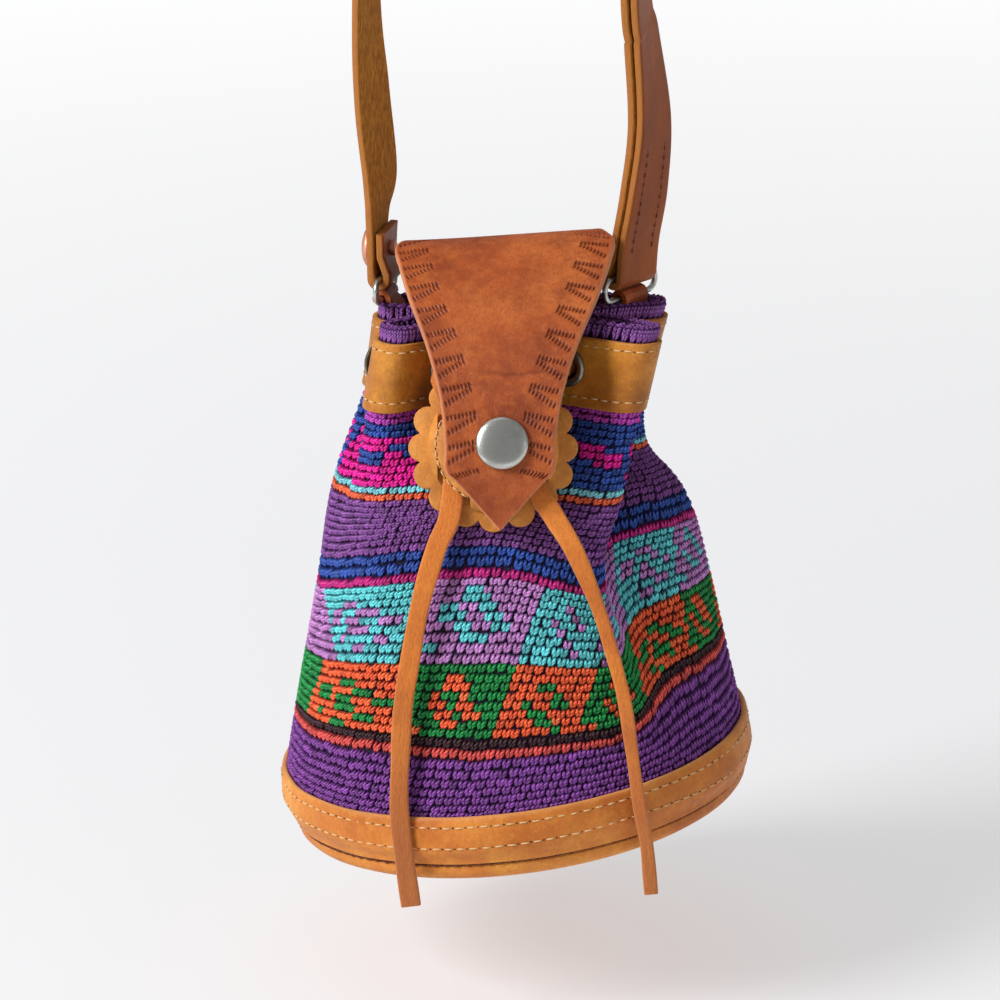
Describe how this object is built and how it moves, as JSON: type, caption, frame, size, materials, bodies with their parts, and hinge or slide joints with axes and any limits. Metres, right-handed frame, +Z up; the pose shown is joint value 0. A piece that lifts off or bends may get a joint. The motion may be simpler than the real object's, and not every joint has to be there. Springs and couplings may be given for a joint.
{
  "type": "drawstring bucket bag",
  "caption": "Small crocheted drawstring bucket bag with leather base, collar, snap flap, laces and shoulder strap, hanging by the strap with the mouth drawn in.",
  "frame": {"origin": "Underside of the strap at the top of its loop, where the bag hangs.", "axes": "+Z up, the flap and laces face -Y, +X is the viewer's right."},
  "size_m": [0.1425, 0.1426, 0.6171],
  "materials": {
    "crochet": "matte cotton yarn, crocheted in colour bands",
    "collar_leather": "smooth golden tan",
    "base_leather": "smooth golden tan, stitched",
    "flap_leather": "tooled red brown, waxed",
    "lace_leather": "orange tan thong",
    "strap_leather": "red brown grain, suede back",
    "nickel": "polished nickel",
    "antique_eyelet": "dark antique plating",
    "copper_rivet": "copper"
  },
  "bodies": {
    "root": {"woven_body": "crochet", "collar_band": "collar_leather", "base_band": "base_leather", "base_pan": "base_leather", "flap": "flap_leather", "rosette_back": "collar_leather", "rosette_front": "collar_leather", "drawstring": "lace_leather", "lace_left": "lace_leather", "lace_right": "lace_leather", "strap": "strap_leather", "tab_left": "strap_leather", "tab_right": "strap_leather", "snap_cap": "nickel", "snap_stud": "nickel", "ring_left": "nickel", "ring_right": "nickel", "strap_rivet": "copper_rivet", "eyelet_1": "antique_eyelet", "eyelet_2": "antique_eyelet", "eyelet_3": "antique_eyelet", "eyelet_4": "antique_eyelet", "eyelet_5": "antique_eyelet", "eyelet_6": "antique_eyelet", "eyelet_7": "antique_eyelet", "eyelet_8": "antique_eyelet"}
  },
  "joints": []
}
